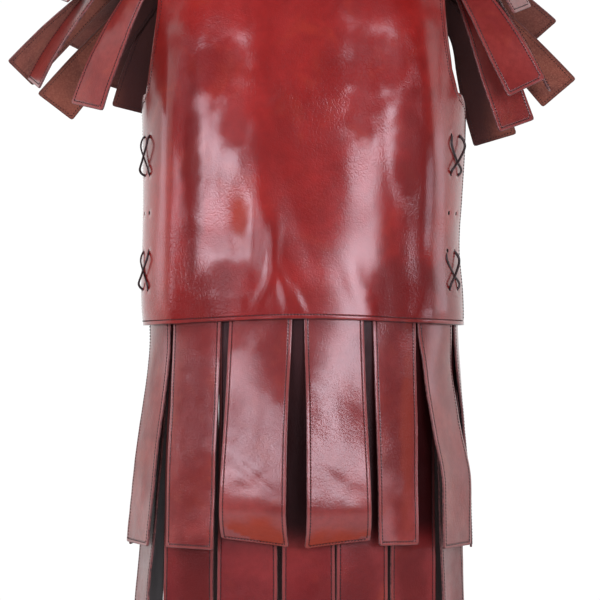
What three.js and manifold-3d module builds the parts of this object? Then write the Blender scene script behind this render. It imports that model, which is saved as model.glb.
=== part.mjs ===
// A leather subarmalis: front and back panels laced at the sides, two tiers of hip
// strips under the hem and two layers of strips fanned round each armhole.
// Millimetres, +Z up, the front faces -Y, and the origin lies between the shoulders.
// "around" is an angle in degrees about +Z: 0 is centre front, 90 is the wearer's
// left side (+X), -90 the other side and 180 centre back.
// "rise" is an angle over the shoulder: 0 is the chest, 90 the shoulder seam, 180 the back.
import * as THREE from 'three';
import { mergeVertices } from 'three/addons/utils/BufferGeometryUtils.js';
import Module from 'manifold-3d';

// Leather
const bodyLeather = 2.8;
const strapLeather = 2.4;
const seamGap = 0.3;
const lapGap = 0.9;
const shoulderGap = 3;
const strapGap = 1.2;                                // between facets that don't line up

// Body
const hemZ = -489;
const hemArch = 8;                                   // how much higher the hem is at centre front
const lacedTopZ = -264;                              // the back panel's corner, under the front
const frontCornerZ = -252;
const cornerTopZ = -226;                             // where both armhole corners end
const yokeZ = -200;                                  // above this the panels bend over the shoulder
const roundness = 2.2;                               // power of the body's superellipse section
const shoulderRoundness = 2.4;
const seamY = 8;
const neckHalf = 72;
const neckZ = 14;
const neckDrop = { front: 92, back: 24 };
const shoulderSlope = 20;
const crestSoftness = 30;

// Horizontal sections of the body: half widths to either side, depths to front and back.
const torsoSections = [
  { z: -489, left: 178.5, right: 177.5, front: 133, back: 128 },
  { z: -450, left: 180, right: 176, front: 130, back: 125 },
  { z: -400, left: 179, right: 171.5, front: 127, back: 122 },
  { z: -340, left: 178.5, right: 176, front: 128, back: 123 },
  { z: -285, left: 179, right: 179.5, front: 130, back: 126 },
  { z: -240, left: 180, right: 180, front: 128, back: 125 },
  { z: -200, left: 180, right: 180, front: 126, back: 122 },
];

// Distance of the armhole's edge from the middle, over the shoulder from front to back.
const armholeReach = [
  { rise: 0, left: 171, right: 162 },
  { rise: 7, left: 168, right: 159 },
  { rise: 23, left: 163, right: 155.5 },
  { rise: 50, left: 161, right: 156 },
  { rise: 90, left: 164, right: 161 },
  { rise: 130, left: 160, right: 157 },
  { rise: 157, left: 159, right: 156 },
  { rise: 173, left: 165, right: 161 },
  { rise: 180, left: 168, right: 164 },
];
const cornerReach = { front: { left: 174, right: 168 }, back: { left: 171, right: 168 } };

// Lines of points down each panel, in degrees from its own middle. They stand at the
// same places on both panels where the front laps over the back.
const frontStations = {
  left: [0, 10, 20, 30, 39, 47, 55.5, 64, 73, 82, 92],
  right: [0, 9, 18, 27, 36, 44, 51, 58, 66, 74, 82],
};
const backStations = {
  left: [0, 12, 23, 34, 43, 52, 61, 70, 79, 88, 98, 107, 116],
  right: [0, 12, 23, 34, 43, 52, 61, 70, 79, 88, 98, 106, 114, 122],
};
const neckColumns = 4;                               // columns from the middle to the neck point
const bodyHeights = [-444, -396, -348, -300, lacedTopZ];
const yokeParts = [0.13, 0.26, 0.39, 0.53, 0.67, 0.81, 0.92, 1]; // where its rows stand
const lapStart = { left: 52, right: 46 };            // where the front panel begins to lift
const lapRamp = 11;
const liftTop = { from: -245, to: -130 };            // and where it lies down again

// Lacing
const laceRadius = 1.2;
const laceHole = 2.6;
const holeTopZ = -275;
const holePitch = 43.3;
const holeRows = 5;
const holeColumns = { left: [-80, -73.5], right: [67, 73.5] };
const holeSides = 6;
const ties = [{ name: 'upper', row: 0 }, { name: 'lower', row: 3 }];
const laceTail = 18;
const laceSteps = 56;

// Hip strips. at: millimetres round the hem from centre front. width and taper: the width
// at the hem and what it gains by the tip. turn: how far the tip's face turns from the
// hem's direction. swing: lean along the hem. slopes: slope outward at each fifth of the
// length, so that a strip flares, bellies or curls.
const hipOverlap = 14;
const hipSettled = 0.2;                              // share of the length taken to turn
const upperStrips = [
  { at: -200, width: 66, taper: 4, length: 248, turn: 0, swing: 0, slopes: [5, 7, 7, 6, 6] },
  { at: -128, width: 66, taper: -1, length: 250, turn: 0, swing: 0, slopes: [3, 3, 3, 2, 2] },
  { at: -49.5, width: 72, taper: 5, length: 252, turn: 0, swing: -1, slopes: [10, 10, 8, 3, -42] },
  { at: 33, width: 67.5, taper: 6, length: 254, turn: 0, swing: 0.6, slopes: [10, 10, 8, 3, -42] },
  { at: 104, width: 54, taper: -4, length: 246, turn: 3, swing: -1, slopes: [4, 4, 3, 3, 4] },
  { at: 166, width: 65, taper: 0, length: 250, turn: 8, swing: 0, slopes: [5, 9, 13, 0, 0] },
  { at: 243, width: 68, taper: 2, length: 252, turn: 0, swing: 0, slopes: [5, 6, 7, 4, 2] },
  { at: 323, width: 70, taper: 2, length: 254, turn: 0, swing: 0, slopes: [6, 9, 7, 3, -8] },
  { at: 402, width: 70, taper: 3, length: 250, turn: 0, swing: 1, slopes: [8, 8, 5, 1, -14] },
  { at: 481, width: 70, taper: 2, length: 255, turn: 0, swing: 0, slopes: [7, 6, 6, 4, -4] },
  { at: 560, width: 70, taper: 3, length: 252, turn: 0, swing: -1, slopes: [8, 8, 5, 3, -10] },
  { at: 640, width: 70, taper: 2, length: 254, turn: 0, swing: 0, slopes: [6, 7, 9, 4, 0] },
  { at: 720, width: 68, taper: 2, length: 252, turn: 0, swing: 0, slopes: [5, 6, 6, 5, 4] },
];
const lowerStrips = [
  { at: -214, width: 64, taper: 2, length: 372, turn: 0, swing: 0, slopes: [1, 3, 4, 4, 3] },
  { at: -141, width: 64, taper: 2, length: 376, turn: 0, swing: 0, slopes: [-1, 0, 0, 0, 1] },
  { at: -65, width: 67, taper: 2, length: 372, turn: 0, swing: 0, slopes: [-1, 0, 0, 0, 0] },
  { at: 4.5, width: 57, taper: 2, length: 374, turn: 0, swing: 0, slopes: [-1, 0, 0, 1, 0] },
  { at: 65.5, width: 57, taper: 2, length: 376, turn: 0, swing: 0, slopes: [-1, 0, 0, 0, 1] },
  { at: 131, width: 62, taper: 0, length: 370, turn: 0, swing: 0, slopes: [-1, -1, 0, 0, 0] },
  { at: 197, width: 62, taper: 2, length: 374, turn: 0, swing: 0, slopes: [-1, 0, 1, 1, 1] },
  { at: 271, width: 64, taper: 2, length: 378, turn: 0, swing: 0, slopes: [0, 1, 2, 1, 1] },
  { at: 344, width: 64, taper: 2, length: 370, turn: 0, swing: 0, slopes: [0, 2, 1, 1, 0] },
  { at: 418, width: 64, taper: 2, length: 376, turn: 0, swing: 0, slopes: [0, 1, 1, 1, 1] },
  { at: 491, width: 64, taper: 2, length: 372, turn: 0, swing: 0, slopes: [0, 2, 2, 1, 1] },
  { at: 565, width: 64, taper: 2, length: 378, turn: 0, swing: 0, slopes: [0, 1, 2, 1, 0] },
  { at: 639, width: 64, taper: 2, length: 372, turn: 0, swing: 0, slopes: [0, 2, 2, 2, 2] },
  { at: 712, width: 64, taper: 2, length: 374, turn: 0, swing: 0, slopes: [0, 2, 3, 3, 2] },
];
const hipStations = [-1, -0.5, 0, 0.5, 1];           // across a strip, in half widths
const upperHeights = [0, 0.17, 0.42, 0.68, 0.86, 1];
const lowerHeights = [0, 0.2, 0.6, 1];

// Shoulder strips. at: millimetres along the armhole's edge, front of the shoulder seam.
// facing: where the tip's face looks, 0 is ahead, 90 out to the side and 180 behind.
// lead and swing: how far the strip leans forward where it leaves the edge and further
// down. settled: the share of its length that it takes to turn from the edge's way to
// its own.
const shoulderOverlap = 12;
const shoulderStrip = { width: 42, taper: 11 };
const leanLimit = 45;                                // how far a strip's course can leave its edge's
const leftOuterStrips = [
  { at: 73, length: 203, facing: 40, lead: 8, swing: 12, settled: 0.4, slopes: [34, 28, 22, 18, 14] },
  { at: 12, length: 150, facing: 64, lead: 14, swing: 14, settled: 0.45, slopes: [56, 48, 43, 41, 40] },
  { at: -60, length: 168, facing: 152, lead: -26, swing: -26, settled: 0.45, slopes: [62, 58, 55, 52, 50] },
  { at: -106, length: 150, facing: 172, lead: -62, swing: -20, settled: 0.2, slopes: [30, 40, 45, 42, 38] },
];
const leftInnerStrips = [
  { at: 30, length: 238, facing: 62, lead: 22, swing: 18, settled: 0.18, slopes: [46, 42, 34, 28, 22] },
  { at: -16, length: 240, facing: 138, lead: -32, swing: -32, settled: 0.18, slopes: [32, 34, 34, 32, 30] },
  { at: -70, length: 220, facing: 168, lead: -37, swing: -37, settled: 0.5, slopes: [26, 26, 26, 24, 22] },
  { at: -120, length: 135, facing: 176, lead: -50, swing: -14, settled: 0.2, slopes: [14, 14, 14, 12, 12] },
];
const rightOuterStrips = [
  { at: 75, length: 190, facing: 20, lead: 20, swing: 25, settled: 0.4, slopes: [30, 24, 17, 13, 12] },
  { at: 22, length: 142, facing: 55, lead: 16, swing: 16, settled: 0.45, slopes: [48, 38, 32, 28, 26] },
  { at: -42, length: 168, facing: 152, lead: -32, swing: -36, settled: 0.5, slopes: [62, 52, 44, 38, 36] },
  { at: -93, length: 148, facing: 175, lead: -55, swing: -25, settled: 0.2, slopes: [28, 38, 42, 38, 34] },
];
const rightInnerStrips = [
  { at: 47, length: 240, facing: 30, lead: 18, swing: 18, settled: 0.18, slopes: [12, 12, 10, 8, 8] },
  { at: 0, length: 232, facing: 80, lead: 4, swing: 4, settled: 0.18, slopes: [32, 32, 30, 28, 26] },
  { at: -57, length: 222, facing: 165, lead: -39, swing: -39, settled: 0.5, slopes: [26, 26, 25, 22, 20] },
  { at: -112, length: 190, facing: 176, lead: -50, swing: -17, settled: 0.2, slopes: [16, 18, 18, 18, 18] },
];
const shoulderStrips = {
  left: { outer: leftOuterStrips, inner: leftInnerStrips },
  right: { outer: rightOuterStrips, inner: rightInnerStrips },
};
const shoulderHeights = [0, 0.12, 0.28, 0.5, 1];

const leather = { color: 0x7a2a26, roughness: 0.35, metalness: 0 };
const strapFinish = { color: 0x7b3230, roughness: 0.45, metalness: 0 };
const thong = { color: 0x2b1512, roughness: 0.7, metalness: 0 };

const radians = THREE.MathUtils.degToRad;
const degrees = THREE.MathUtils.radToDeg;
const { clamp, lerp, smoothstep } = THREE.MathUtils;
const up = new THREE.Vector3(0, 0, 1);
const punchAxis = new THREE.Vector3(0, 1, 0);        // a cylinder's own

// Smooth value of one column of a table, at a place along its key column.
function sample(table, key, place, column) {
  const passed = table.filter((row) => row[key] <= place).length;
  const k = clamp(passed - 1, 0, table.length - 2);
  const [before, a, b, after] = [
    table[Math.max(k - 1, 0)], table[k], table[k + 1], table[Math.min(k + 2, table.length - 1)],
  ];
  const span = b[key] - a[key];
  const t = clamp((place - a[key]) / span, 0, 1);
  const leave = (b[column] - before[column]) / (b[key] - before[key]) * span;
  const arrive = (after[column] - a[column]) / (after[key] - a[key]) * span;
  return a[column] * (2 * t ** 3 - 3 * t ** 2 + 1) + leave * (t ** 3 - 2 * t ** 2 + t)
    + b[column] * (3 * t ** 2 - 2 * t ** 3) + arrive * (t ** 3 - t ** 2);
}

// The body's inner surface below the yoke.
function torsoPoint(around, z) {
  const half = sample(torsoSections, 'z', z, Math.sin(radians(around)) < 0 ? 'left' : 'right');
  const depth = sample(torsoSections, 'z', z, Math.cos(radians(around)) > 0 ? 'front' : 'back');
  const across = Math.sin(radians(around));
  const ahead = Math.cos(radians(around));
  const size = Math.abs(across / half) ** roundness + Math.abs(ahead / depth) ** roundness;
  const reach = size ** (-1 / roundness);
  return new THREE.Vector3(reach * across, -reach * ahead, z);
}

function shoulderZ(x) {
  const away = Math.sqrt(x * x + crestSoftness ** 2) - Math.sqrt(neckHalf ** 2 + crestSoftness ** 2);
  return neckZ - away * Math.tan(radians(shoulderSlope));
}

// How far from the middle plane the body is at the foot of the yoke.
function chestDepth(x, face) {
  const half = sample(torsoSections, 'z', yokeZ, x < 0 ? 'left' : 'right');
  const depth = sample(torsoSections, 'z', yokeZ, face);
  return depth * Math.max(1 - Math.abs(x / half) ** roundness, 0) ** (1 / roundness);
}

// The body's inner surface over the shoulder.
function yokePoint(x, rise) {
  const foot = rise < 90 ? -chestDepth(x, 'front') : chestDepth(x, 'back');
  const along = Math.abs(Math.cos(radians(rise))) ** (2 / shoulderRoundness);
  const climb = Math.max(Math.sin(radians(rise)), 0) ** (2 / shoulderRoundness);
  return new THREE.Vector3(
    x, seamY + (foot - seamY) * along, yokeZ + (shoulderZ(x) - yokeZ) * climb);
}

// A point of a surface and the way out of the body there.
function placeOn(surface, a, b, stepA, stepB) {
  const point = surface(a, b);
  const alongA = surface(a + stepA, b).sub(surface(a - stepA, b));
  const alongB = surface(a, b + stepB).sub(surface(a, b - stepB));
  const normal = alongA.cross(alongB).normalize();
  const fromMiddle = point.clone().sub(new THREE.Vector3(0, 0, yokeZ - 60));
  if (normal.dot(fromMiddle) < 0) normal.negate();
  return { point, normal };
}

const onTorso = (around, z) => placeOn(torsoPoint, around, z, 0.5, 1);
const onYoke = (x, rise) => placeOn(yokePoint, x, clamp(rise, 1, 179), 0.5, 0.5);
const raised = (place, height) => place.point.clone().addScaledVector(place.normal, height);

// The hem, which arches up at centre front.
function hemAt(around) {
  const ahead = Math.max(Math.cos(radians(around)), 0);
  return hemZ + hemArch * ahead ** 2;
}

// The angle from a panel's middle at which the body is this far out.
function angleAt(x, z, face, side) {
  const half = sample(torsoSections, 'z', z, side);
  const depth = sample(torsoSections, 'z', z, face);
  return degrees(Math.atan2(x, depth * (1 - (x / half) ** roundness) ** (1 / roundness)));
}

// Rows of a panel below its yoke: a height and how far round it goes to either side.
function bodyRows(face, stations, cornerZ) {
  const sides = ['left', 'right'];
  const ends = { left: stations.left.at(-1), right: stations.right.at(-1) };
  const rows = [null, ...bodyHeights].map((z) => ({ z, ...ends }));
  if (cornerZ > lacedTopZ) rows.push({ ...rows.at(-1), z: cornerZ });
  const turns = face === 'front' ? [25, 50, 90] : [15, 32, 50, 68, 90];
  for (const turn of turns) {
    const row = { z: lerp(cornerZ, cornerTopZ, 1 - Math.cos(radians(turn))) };
    for (const side of sides) {
      const top = angleAt(cornerReach[face][side], cornerTopZ, face, side);
      row[side] = lerp(stations[side].at(-1), top, Math.sin(radians(turn)));
    }
    rows.push(row);
  }
  const foot = { z: yokeZ };
  const footRise = face === 'front' ? 0 : 180;
  for (const side of sides) {
    foot[side] = angleAt(sample(armholeReach, 'rise', footRise, side), yokeZ, face, side);
  }
  return [...rows, foot];
}

// How much the front panel stands off the body, to clear the back panel's edges.
function frontLift(around, z) {
  const start = lapStart[around < 0 ? 'left' : 'right'];
  const lap = smoothstep(Math.abs(around), start, start + lapRamp);
  return (bodyLeather + lapGap) * lap * (1 - smoothstep(z, liftTop.from, liftTop.to));
}

// One panel as a grid of places with an inner and an outer point each.
function panelGrid(face, stations, cornerZ) {
  const front = face === 'front';
  const columns = [];
  for (let k = stations.left.length - 1; k > 0; k -= 1) columns.push({ side: 'left', sign: -1, k });
  for (let k = 0; k < stations.right.length; k += 1) columns.push({ side: 'right', sign: 1, k });
  if (!front) columns.reverse();
  const rows = bodyRows(face, stations, cornerZ);
  const grid = rows.map((row) => columns.map(({ side, sign, k }) => {
    const own = stations[side][k] * row[side] / stations[side].at(-1);
    const around = sign * (front ? own : 180 - own);
    const z = row.z ?? hemAt(around);
    const place = onTorso(around, z);
    const lift = front ? frontLift(around, z) : 0;
    return { inner: raised(place, lift), outer: raised(place, lift + bodyLeather) };
  }));
  const foot = rows.at(-1);
  for (const part of yokeParts) {
    grid.push(columns.map(({ side, sign, k }) => {
      const last = stations[side].length - 1;
      const tip = sample(armholeReach, 'rise', 90, side);
      const crest = k <= neckColumns
        ? neckHalf * Math.sin(radians(90 * k / neckColumns))
        : lerp(neckHalf, tip, (k - neckColumns) / (last - neckColumns));
      const own = stations[side][k] * foot[side] / stations[side][last];
      const chest = Math.abs(torsoPoint(front ? own * sign : sign * (180 - own), yokeZ).x);
      const edge = sample(armholeReach, 'rise', front ? 90 * part : 180 - 90 * part, side);
      const footEdge = sample(armholeReach, 'rise', front ? 0 : 180, side);
      const reach = lerp(chest, crest, part) * edge / lerp(footEdge, tip, part);
      const seam = 90 - degrees(seamGap / 2 / chestDepth(0, face));
      const top = k < neckColumns ? neckRise(crest, face) : seam;
      const rise = front ? part * top : 180 - part * top;
      const place = onYoke(sign * reach, rise);
      const lift = front ? frontLift(own * sign, place.point.z) : 0;
      return { inner: raised(place, lift), outer: raised(place, lift + bodyLeather) };
    }));
  }
  return grid;
}

// How far over the shoulder a panel goes before the neck's edge cuts it.
function neckRise(x, face) {
  const drop = neckDrop[face];
  const edgeZ = neckZ - drop * Math.sqrt(1 - (x / neckHalf) ** 2);
  const climb = (edgeZ - yokeZ) / (shoulderZ(x) - yokeZ);
  return degrees(Math.asin(climb ** (shoulderRoundness / 2)));
}

// A closed wall from a grid of inner and outer points.
function wallGeometry(grid) {
  const rows = grid.length;
  const columns = grid[0].length;
  const layer = rows * columns;
  const faces = ['outer', 'inner'];
  const points = faces.flatMap((face) => grid.flat().flatMap((place) => place[face].toArray()));
  const index = [];
  const quad = (a, b, c, d) => index.push(a, b, c, a, c, d);
  for (let r = 0; r < rows - 1; r += 1) {
    for (let c = 0; c < columns - 1; c += 1) {
      const a = r * columns + c;
      const above = a + columns;
      quad(a, a + 1, above + 1, above);
      quad(layer + a, layer + above, layer + above + 1, layer + a + 1);
    }
  }
  const rim = [];
  for (let c = 0; c < columns - 1; c += 1) rim.push(c);
  for (let r = 0; r < rows - 1; r += 1) rim.push(r * columns + columns - 1);
  for (let c = columns - 1; c > 0; c -= 1) rim.push((rows - 1) * columns + c);
  for (let r = rows - 1; r > 0; r -= 1) rim.push(r * columns);
  rim.forEach((from, i) => {
    const to = rim[(i + 1) % rim.length];
    quad(from, layer + from, layer + to, to);
  });
  const geometry = new THREE.BufferGeometry();
  geometry.setAttribute('position', new THREE.Float32BufferAttribute(points, 3));
  geometry.setIndex(index);
  geometry.computeVertexNormals();
  return geometry;
}

// A middle surface as a grid of points, given its thickness.
function thickened(points, thickness) {
  const last = points.length - 1;
  return points.map((row, r) => row.map((point, c) => {
    const along = points[Math.min(r + 1, last)][c].clone().sub(points[Math.max(r - 1, 0)][c]);
    const across = row[Math.min(c + 1, row.length - 1)].clone().sub(row[Math.max(c - 1, 0)]);
    const normal = across.cross(along).normalize();
    return {
      outer: point.clone().addScaledVector(normal, thickness / 2),
      inner: point.clone().addScaledVector(normal, -thickness / 2),
    };
  }));
}

// The frame of a strip that hangs with its face this way round: its columns run across
// the strip, up it and out of its face.
function hangingFrame(heading, swing, flare) {
  const out = new THREE.Vector3(Math.sin(radians(heading)), -Math.cos(radians(heading)), 0);
  const across = up.clone().cross(out);
  const frame = new THREE.Matrix4().makeBasis(across, up, out);
  const tilt = new THREE.Matrix4().makeRotationX(radians(-flare));
  const lean = new THREE.Matrix4().makeRotationZ(radians(swing));
  return new THREE.Quaternion().setFromRotationMatrix(frame.multiply(tilt).multiply(lean));
}

// A strip's slope outward at a share of its length.
function slopeAt(slopes, share) {
  const place = clamp(share * slopes.length - 1, 0, slopes.length - 1);
  const k = Math.min(Math.floor(place), slopes.length - 2);
  return lerp(slopes[k], slopes[k + 1], smoothstep(place - k, 0, 1));
}

// A strip's middle surface. root gives its top rows, which lie on the body; the strip
// leaves them on its own course and then bends from the body's slope to its own.
function stripPoints(root, strip, heights, settled) {
  const { edge, under, heading } = root;
  const middle = edge[(edge.length - 1) / 2];
  const lead = strip.lead ?? strip.swing;
  const half = strip.width / 2;
  const course = new THREE.Vector3(0, -1, 0)
    .applyQuaternion(hangingFrame(heading, lead, strip.slopes[0]))
    .applyQuaternion(root.frame.clone().invert());
  const lean = new THREE.Quaternion().setFromAxisAngle(
    new THREE.Vector3(0, 0, 1),
    clamp(Math.atan2(course.x, -course.y), -radians(leanLimit), radians(leanLimit)));
  const frame = root.frame.clone().multiply(lean);
  const back = frame.clone().invert();
  const local = edge.map((point) => point.clone().sub(middle).applyQuaternion(back));
  const rows = [under, edge];
  const centre = middle.clone();
  const pieces = 24;
  let next = 1;
  for (let n = 1; n <= pieces; n += 1) {
    const s = n / pieces;
    const settle = smoothstep(s, 0, settled);
    const swing = lerp(lead, strip.swing, smoothstep(s, 0, 0.5));
    const hang = hangingFrame(heading, swing, slopeAt(strip.slopes, s));
    const turned = frame.clone().slerp(hang, settle);
    centre.addScaledVector(new THREE.Vector3(0, -1, 0).applyQuaternion(turned), strip.length / pieces);
    if (s + 0.5 / pieces < heights[next]) continue;
    next += 1;
    const width = half + (strip.taper ?? 0) / 2 * s;
    rows.push(local.map((offset, c) => {
      const flat = new THREE.Vector3(width * (2 * c / (local.length - 1) - 1), 0, 0);
      return offset.clone().lerp(flat, smoothstep(s, 0, 0.8)).applyQuaternion(turned).add(centre);
    }));
  }
  return rows.reverse();
}

// The way round the hem, as a table of angle by distance.
function hemTable() {
  const table = [{ distance: 0, around: 0 }];
  for (let around = 2; around <= 360; around += 2) {
    const step = torsoPoint(around, hemZ).distanceTo(torsoPoint(around - 2, hemZ));
    table.push({ distance: table.at(-1).distance + step, around });
  }
  return table;
}

const hemRound = hemTable();
const hemLength = hemRound.at(-1).distance;

function angleRound(distance) {
  const turns = Math.floor(distance / hemLength);
  return 360 * turns + sample(hemRound, 'distance', distance - turns * hemLength, 'around');
}

// The frame of a strip's sewn end: across it, up it and out of its face.
function rootFrame(edge, under) {
  const centre = (edge.length - 1) / 2;
  const upward = under[centre].clone().sub(edge[centre]).normalize();
  const across = edge.at(-1).clone().sub(edge[0]).normalize();
  const out = across.clone().cross(upward).normalize();
  across.crossVectors(upward, out);
  const basis = new THREE.Matrix4().makeBasis(across, upward, out);
  return { frame: new THREE.Quaternion().setFromRotationMatrix(basis), out };
}

// The top of a hip strip, sewn inside the hem at a depth under the panels.
function hipRoot(strip, depth) {
  const angles = hipStations.map((place) => angleRound(strip.at + place * strip.width / 2));
  const row = (over) => angles.map((around) => raised(onTorso(around, hemAt(around) + over), -depth));
  const [edge, under] = [row(0), row(hipOverlap)];
  const { frame, out } = rootFrame(edge, under);
  const heading = degrees(Math.atan2(out.x, -out.y)) + strip.turn;
  return { edge, under, frame, heading };
}

// The way over the shoulder along an armhole's edge, as a table of rise by distance.
function armholeTable(side, sign) {
  const spot = (rise) => yokePoint(sign * sample(armholeReach, 'rise', rise, side), rise);
  const table = [{ distance: 0, rise: 2 }];
  for (let rise = 4; rise <= 178; rise += 2) {
    table.push({ distance: table.at(-1).distance + spot(rise).distanceTo(spot(rise - 2)), rise });
  }
  const seam = sample(table, 'rise', 90, 'distance');
  return table.map((row) => ({ ...row, distance: row.distance - seam }));
}

// The top of a shoulder strip, sewn inside the armhole's edge.
function shoulderRoot(side, sign, table, strip, depth) {
  const rises = hipStations.map((place) =>
    sample(table, 'distance', sign * place * strip.width / 2 - strip.at, 'rise'));
  const row = (inset) => rises.map((rise) =>
    raised(onYoke(sign * (sample(armholeReach, 'rise', rise, side) - inset), rise), -depth));
  const [edge, under] = [row(0), row(shoulderOverlap)];
  return { edge, under, frame: rootFrame(edge, under).frame, heading: sign * strip.facing };
}

// Where a lacing hole goes through the panels.
function holePlace(side, row, column) {
  return onTorso(holeColumns[side][column], holeTopZ - row * holePitch);
}

const wasm = await Module();
wasm.setup();

function solidOf(geometry) {
  const plain = new THREE.BufferGeometry();
  plain.setAttribute('position', geometry.getAttribute('position').clone());
  if (geometry.index) plain.setIndex(geometry.index.clone());
  const merged = mergeVertices(plain, 1e-4);
  return new wasm.Manifold(new wasm.Mesh({
    numProp: 3,
    vertProperties: new Float32Array(merged.getAttribute('position').array),
    triVerts: new Uint32Array(merged.index.array),
  }));
}

function geometryOf(solid) {
  const mesh = solid.getMesh();
  const geometry = new THREE.BufferGeometry();
  geometry.setAttribute('position', new THREE.BufferAttribute(mesh.vertProperties, 3));
  geometry.setIndex(new THREE.BufferAttribute(mesh.triVerts, 1));
  geometry.computeVertexNormals();
  return geometry;
}

function punched(geometry) {
  let solid = solidOf(geometry);
  for (const side of ['left', 'right']) {
    for (let row = 0; row < holeRows; row += 1) {
      for (const column of [0, 1]) {
        const place = holePlace(side, row, column);
        const punch = new THREE.CylinderGeometry(laceHole, laceHole, 24, holeSides);
        const turn = new THREE.Quaternion().setFromUnitVectors(punchAxis, place.normal);
        punch.applyQuaternion(turn);
        punch.translate(place.point.x, place.point.y, place.point.z);
        solid = solid.subtract(solidOf(punch));
      }
    }
  }
  return geometryOf(solid);
}

// A tie: out through one hole, across, in, up inside, out, across over itself and in.
function tieGeometry(side, tie) {
  const outside = 2 * bodyLeather + lapGap;
  const low = outside + laceRadius + 1.4;
  const high = low + 2 * laceRadius + 0.9;
  const inside = -laceRadius - 1.6;
  const spot = (row, column, height, drop = 0) => {
    const place = holePlace(side, tie.row + row, column);
    return raised(place, height).add(new THREE.Vector3(0, 0, -drop));
  };
  const middle = (holeColumns[side][0] + holeColumns[side][1]) / 2;
  const between = (height) => raised(onTorso(middle, holeTopZ - (tie.row + 0.5) * holePitch), height);
  const through = (row, column) => [spot(row, column, -0.8), spot(row, column, outside + 0.8)];
  const points = [
    spot(0, 0, inside, laceTail),
    spot(0, 0, inside, 4),
    ...through(0, 0),
    spot(0, 0, low + 0.6, 4),
    between(low),
    spot(1, 1, low + 0.6, -4),
    ...through(1, 1).reverse(),
    spot(1, 1, inside, -4),
    spot(0, 1, inside, 4),
    ...through(0, 1),
    spot(0, 1, high, 4),
    between(high),
    spot(1, 0, high, -4),
    ...through(1, 0).reverse(),
    spot(1, 0, inside, 4),
    spot(1, 0, inside, laceTail),
  ];
  const section = new THREE.Shape();
  for (let k = 0; k < 8; k += 1) {
    const turn = k * Math.PI / 4;
    const [x, y] = [laceRadius * Math.cos(turn), laceRadius * Math.sin(turn)];
    if (k === 0) section.moveTo(x, y);
    else section.lineTo(x, y);
  }
  section.closePath();
  const path = new THREE.CatmullRomCurve3(points, false, 'centripetal');
  return new THREE.ExtrudeGeometry(section, { steps: laceSteps, extrudePath: path, curveSegments: 1 });
}

const group = new THREE.Group();

function add(name, geometry, finish) {
  const mesh = new THREE.Mesh(geometry, new THREE.MeshStandardMaterial(finish));
  mesh.name = name;
  group.add(mesh);
}

add('front_panel', punched(wallGeometry(panelGrid('front', frontStations, frontCornerZ))), leather);
add('back_panel', punched(wallGeometry(panelGrid('back', backStations, lacedTopZ))), leather);

// Layers under the panels: the outer strips lie against them, the inner ones under those.
const depthsUnder = (gap) => [gap + strapLeather / 2, 2 * gap + 1.5 * strapLeather];
const [upperDepth, lowerDepth] = depthsUnder(strapGap);
const [outerDepth, innerDepth] = depthsUnder(shoulderGap);

const number = (n) => String(n + 1).padStart(2, '0');
for (const [tier, strips, heights, depth] of [
  ['upper', upperStrips, upperHeights, upperDepth],
  ['lower', lowerStrips, lowerHeights, lowerDepth],
]) {
  strips.forEach((strip, n) => {
    const points = stripPoints(hipRoot(strip, depth), strip, heights, hipSettled);
    add(`skirt_${tier}_${number(n)}`, wallGeometry(thickened(points, strapLeather)), strapFinish);
  });
}

for (const [side, sign] of [['left', -1], ['right', 1]]) {
  const table = armholeTable(side, sign);
  for (const [layer, depth] of [['outer', outerDepth], ['inner', innerDepth]]) {
    shoulderStrips[side][layer].forEach((strip, n) => {
      const worn = { ...shoulderStrip, ...strip, lead: sign * strip.lead, swing: sign * strip.swing };
      const root = shoulderRoot(side, sign, table, worn, depth);
      const points = stripPoints(root, worn, shoulderHeights, worn.settled);
      add(`shoulder_${side}_${layer}_${n + 1}`, wallGeometry(thickened(points, strapLeather)), strapFinish);
    });
  }
  for (const tie of ties) add(`lace_${side}_${tie.name}`, tieGeometry(side, tie), thong);
}

export default group;
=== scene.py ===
import bpy
import bmesh
import math
import random
from math import cos, degrees, radians, sin, sqrt
from mathutils import Matrix, Vector, kdtree, noise


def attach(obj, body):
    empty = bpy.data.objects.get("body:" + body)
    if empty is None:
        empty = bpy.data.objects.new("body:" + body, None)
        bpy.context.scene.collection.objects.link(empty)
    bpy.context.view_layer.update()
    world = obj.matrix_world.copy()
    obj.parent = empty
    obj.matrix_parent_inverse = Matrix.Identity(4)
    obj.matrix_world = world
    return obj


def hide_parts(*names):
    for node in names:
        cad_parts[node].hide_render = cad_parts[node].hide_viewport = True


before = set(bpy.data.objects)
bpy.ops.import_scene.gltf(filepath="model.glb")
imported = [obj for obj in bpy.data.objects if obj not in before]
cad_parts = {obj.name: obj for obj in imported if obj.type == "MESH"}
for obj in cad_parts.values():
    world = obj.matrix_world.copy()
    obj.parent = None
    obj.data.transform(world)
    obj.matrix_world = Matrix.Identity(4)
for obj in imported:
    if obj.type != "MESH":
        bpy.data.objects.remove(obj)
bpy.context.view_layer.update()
mm = 0.001
random.seed(11)

# A leather subarmalis: two panels laced at the sides, two tiers of strips under the hem
# and two layers of strips round each armhole. Tables are in millimetres and degrees.
# "around" turns about +Z from centre front; "rise" goes over the shoulder from the
# chest (0) past the seam (90) to the back (180). "left" is the -X side.


def addToScene(name, data):
    thing = bpy.data.objects.new(name, data)
    bpy.context.scene.collection.objects.link(thing)
    return thing


cameraSet = {"place": (-0.005, -3.0, -0.460), "seenWidth": 0.690, "sensor": 36.0}

cameraData = bpy.data.cameras.new("camera")
cameraData.sensor_width = cameraSet["sensor"]
cameraData.lens = cameraSet["sensor"] * -cameraSet["place"][1] / cameraSet["seenWidth"]
cameraData.clip_end = 50
camera = addToScene("camera", cameraData)
camera.location = cameraSet["place"]
camera.rotation_euler = (radians(90), 0, 0)
bpy.context.scene.camera = camera
print("camera ready")


# Sums that several pieces share.
def clamp(value, low, high):
    return max(low, min(high, value))


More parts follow.
